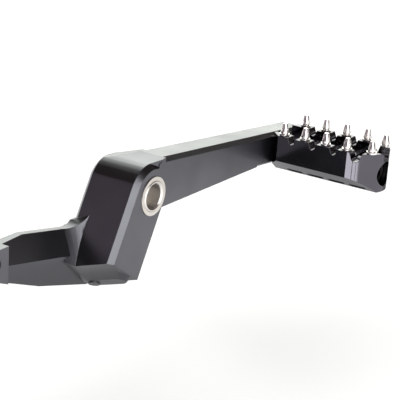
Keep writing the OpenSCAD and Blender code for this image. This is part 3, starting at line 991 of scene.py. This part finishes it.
@dataclass
class Studio:
    """Camera, floor and soft light round the pedal.

    Attributes:
        camera_at: Camera's place.
        heading: Direction that it looks in, from +X towards +Y, in degrees.
        tilt: Elevation that it looks at, in degrees.
        roll: Turn about its own axis, in degrees.
        lens_mm: Focal length.
        sensor_mm: Width of the sensor.
        clip: Nearest and farthest distance that the camera sees.
        floor_size: Width of the floor.
        floor_colour: Colour of the floor, sRGB.
        floor_rough: Roughness of the floor.
        lit_reach: Distances from the pedal at which the lamps stop lighting the floor white, and no longer
            reach it.
        near_glow: Glow that the floor has near the pedal, so that it is white and keeps the shadow.
        far_glow: Glow that keeps the floor white out there.
        floor_level: Brightness of the open floor in reflections, where 1 is white.
        shade_level: Brightness of the floor under the pedal in reflections.
        shade_at: Centre of that shade on the floor.
        shade_half: Half its length and half its width.
        shade_edge: Where the shade starts to lift and where it ends, in half lengths.
        ambient: Brightness of the world as it lights the scene.
        room: Colour of the dim room that metal mirrors beside the cards, sRGB.
    """

    camera_at: tuple[float, float, float] = (-0.47897, -0.33316, 0.19962)
    heading: float = 31.465
    tilt: float = -19.170
    roll: float = 4.039
    lens_mm: float = 117.0
    sensor_mm: float = 36.0
    clip: tuple[float, float] = (0.01, 50.0)
    floor_size: float = 8.0
    floor_colour: str = "#f2f2f0"
    floor_rough: float = 0.9
    lit_reach: tuple[float, float] = (0.3, 1.5)
    near_glow: float = 0.14
    far_glow: float = 0.8
    floor_level: float = 1.35
    shade_level: float = 0.62
    shade_at: tuple[float, float] = (0.07, 0.0)
    shade_half: tuple[float, float] = (0.26, 0.09)
    shade_edge: tuple[float, float] = (0.4, 1.3)
    ambient: float = 0.35
    room: str = "#544a48"

    def add_camera(self) -> None:
        """Makes the camera at the photograph's viewpoint."""
        data = bpy.data.cameras.new("camera")
        data.lens = self.lens_mm
        data.sensor_width = self.sensor_mm
        data.clip_start, data.clip_end = self.clip
        camera = bpy.data.objects.new("camera", data)
        bpy.context.scene.collection.objects.link(camera)
        turn = (
            Matrix.Rotation(math.radians(self.heading - 90), 4, "Z")
            @ Matrix.Rotation(math.radians(90 + self.tilt), 4, "X")
            @ Matrix.Rotation(math.radians(self.roll), 4, "Z")
        )
        camera.matrix_world = Matrix.Translation(self.camera_at) @ turn
        bpy.context.scene.camera = camera
        LOG.info("camera at %s", self.camera_at)

    @staticmethod
    def add_plane(
        name: str, centre: Vector, aim: Vector, size: tuple[float, float]
    ) -> tuple[bpy.types.Object, bpy.types.NodeTree]:
        """Adds a flat plane that faces a point, with an empty material.

        Args:
            name: Name of the plane and its material.
            centre: Middle of the plane.
            aim: Point that it faces.
            size: Width and height.

        Returns:
            The plane, marked as stage, and its material's node tree.
        """
        bpy.ops.object.select_all(action="DESELECT")
        bpy.ops.mesh.primitive_plane_add(size=1.0, location=(0, 0, 0))
        plane = bpy.context.active_object
        plane.name = name
        plane.scale = (*size, 1.0)
        plane.rotation_mode = "QUATERNION"
        plane.rotation_quaternion = (aim - centre).to_track_quat("Z", "Y")
        plane.location = centre
        material = bpy.data.materials.new(name)
        material.use_nodes = True
        material.node_tree.nodes.clear()
        plane.data.materials.append(material)
        return plane, material.node_tree

    def add_floor(self) -> None:
        """Lays the pale floor, which shows white and keeps the pedal's soft shadow."""
        _, tree = self.add_plane(
            "floor", Vector((0, 0, FLOOR_Z)), Vector((0, 0, 1)), (self.floor_size, self.floor_size)
        )
        path = add_node(tree, "ShaderNodeLightPath")
        seen = add_node(
            tree, "ShaderNodeMath", {"operation": "ADD", "use_clamp": True},
            {"0": path.outputs["Is Camera Ray"], "1": path.outputs["Is Transmission Ray"]},
        )
        spot = add_node(tree, "ShaderNodeNewGeometry").outputs["Position"]
        glow = add_node(
            tree, "ShaderNodeMath", {"operation": "MULTIPLY"},
            {"0": seen.outputs["Value"], "1": self.add_glow(tree, spot)},
        )
        shader = add_node(
            tree, "ShaderNodeBsdfPrincipled",
            {"Base Color": linear_rgba(self.floor_colour), "Roughness": self.floor_rough,
             "Specular IOR Level": 0.0, "Emission Color": linear_rgba(WHITE)},
            {"Emission Strength": glow.outputs["Value"]},
        )
        mirrored = add_node(
            tree, "ShaderNodeEmission", {"Color": linear_rgba(WHITE)}, {"Strength": self.add_shade(tree, spot)}
        )
        both = add_node(
            tree, "ShaderNodeMixShader", None,
            {"Fac": path.outputs["Is Glossy Ray"], "1": shader.outputs["BSDF"],
             "2": mirrored.outputs["Emission"]},
        )
        add_node(tree, "ShaderNodeOutputMaterial", None, {"Surface": both.outputs["Shader"]})
        LOG.info("floor at height %.3f", FLOOR_Z)

    def add_glow(self, tree: bpy.types.NodeTree, spot: bpy.types.NodeSocket) -> bpy.types.NodeSocket:
        """Works out the glow that tops up the lamps' light on the floor, more of it far from the pedal.

        Args:
            tree: The floor's node tree.
            spot: Place on the floor.

        Returns:
            The glow's strength.
        """
        distance = add_node(tree, "ShaderNodeVectorMath", {"operation": "LENGTH"}, {"0": spot})
        near, far = self.lit_reach
        glow = add_node(
            tree, "ShaderNodeMapRange",
            {"From Min": near, "From Max": far, "To Min": self.near_glow, "To Max": self.far_glow},
            {"Value": distance.outputs["Value"]},
        )
        return glow.outputs["Result"]

    def add_shade(self, tree: bpy.types.NodeTree, spot: bpy.types.NodeSocket) -> bpy.types.NodeSocket:
        """Works out how bright the floor is in reflections: dimmer in the pedal's own shade.

        Args:
            tree: The floor's node tree.
            spot: Place on the floor.

        Returns:
            The brightness.
        """
        oval = add_node(tree, "ShaderNodeMapping", {"vector_type": "TEXTURE"}, {"Vector": spot})
        oval.inputs["Location"].default_value = (*self.shade_at, FLOOR_Z)
        oval.inputs["Scale"].default_value = (*self.shade_half, 1.0)
        reach = add_node(tree, "ShaderNodeVectorMath", {"operation": "LENGTH"}, {"0": oval.outputs["Vector"]})
        start, end = self.shade_edge
        level = add_node(
            tree, "ShaderNodeMapRange",
            {"From Min": start, "From Max": end, "To Min": self.shade_level, "To Max": self.floor_level},
            {"Value": reach.outputs["Value"]},
        )
        return level.outputs["Result"]

    def add_card(self, card: Card) -> None:
        """Hangs a card.

        Args:
            card: The card.
        """
        middle = Vector(card.centre)
        aim = middle + Vector((0, 0, 1)) if card.flat else Vector((0, 0, 0))
        plane, tree = self.add_plane(card.name, middle, aim, card.size)
        plane.visible_camera = False
        plane.visible_diffuse = False
        plane.visible_shadow = False
        plane.visible_transmission = False
        glow = add_node(
            tree, "ShaderNodeEmission", {"Color": linear_rgba(card.colour), "Strength": card.level}
        )
        add_node(tree, "ShaderNodeOutputMaterial", None, {"Surface": glow.outputs["Emission"]})
        LOG.info("%s at level %.2f", card.name, card.level)

    def add_lamp(self, softbox: Softbox) -> None:
        """Adds a softbox that faces the pedal.

        Args:
            softbox: The softbox.
        """
        data = bpy.data.lights.new(softbox.name, "AREA")
        data.shape = "RECTANGLE"
        data.size, data.size_y = softbox.size
        data.energy = softbox.power
        lamp = bpy.data.objects.new(softbox.name, data)
        bpy.context.scene.collection.objects.link(lamp)
        lamp.rotation_mode = "QUATERNION"
        lamp.rotation_quaternion = (-Vector(softbox.centre)).to_track_quat("-Z", "Y")
        lamp.location = softbox.centre
        lamp.visible_glossy = False
        LOG.info("%s of %.0f W", softbox.name, softbox.power)

    def add_world(self) -> None:
        """Sets a soft white surround, which metal mirrors as a dim room."""
        world = bpy.data.worlds.new("studio")
        bpy.context.scene.world = world
        world.use_nodes = True
        tree = world.node_tree
        tree.nodes.clear()
        path = add_node(tree, "ShaderNodeLightPath")
        white, soft, room = (
            add_node(tree, "ShaderNodeBackground", {"Color": linear_rgba(colour), "Strength": strength})
            for colour, strength in ((WHITE, 1.0), (WHITE, self.ambient), (self.room, 1.0))
        )
        by_gloss = add_node(
            tree, "ShaderNodeMixShader", None,
            {"Fac": path.outputs["Is Glossy Ray"], "1": soft.outputs["Background"],
             "2": room.outputs["Background"]},
        )
        by_eye = add_node(
            tree, "ShaderNodeMixShader", None,
            {"Fac": path.outputs["Is Camera Ray"], "1": by_gloss.outputs["Shader"],
             "2": white.outputs["Background"]},
        )
        add_node(tree, "ShaderNodeOutputWorld", None, {"Surface": by_eye.outputs["Shader"]})

    def build(self) -> None:
        """Sets up the whole studio."""
        bpy.context.scene.view_settings.view_transform = "Standard"
        self.add_camera()
        self.add_floor()
        self.add_world()
        for softbox in SOFTBOXES:
            self.add_lamp(softbox)
        for card in CARDS:
            self.add_card(card)


def main() -> None:
    """Dresses the pedal, models its finer pieces and builds the studio round it."""
    logging.basicConfig(level=logging.INFO, format="%(name)s: %(message)s")
    shelf = MaterialShelf()
    Dressing(shelf, frame["record"]["subparts"]).dress()
    SpikePins(shelf).build()
    TipBolt(shelf).build()
    TipBlock(shelf).build()
    PedalForging(shelf).build()
    PivotSleeve(shelf).build()
    Studio().build()


if __name__ == "__main__":
    main()
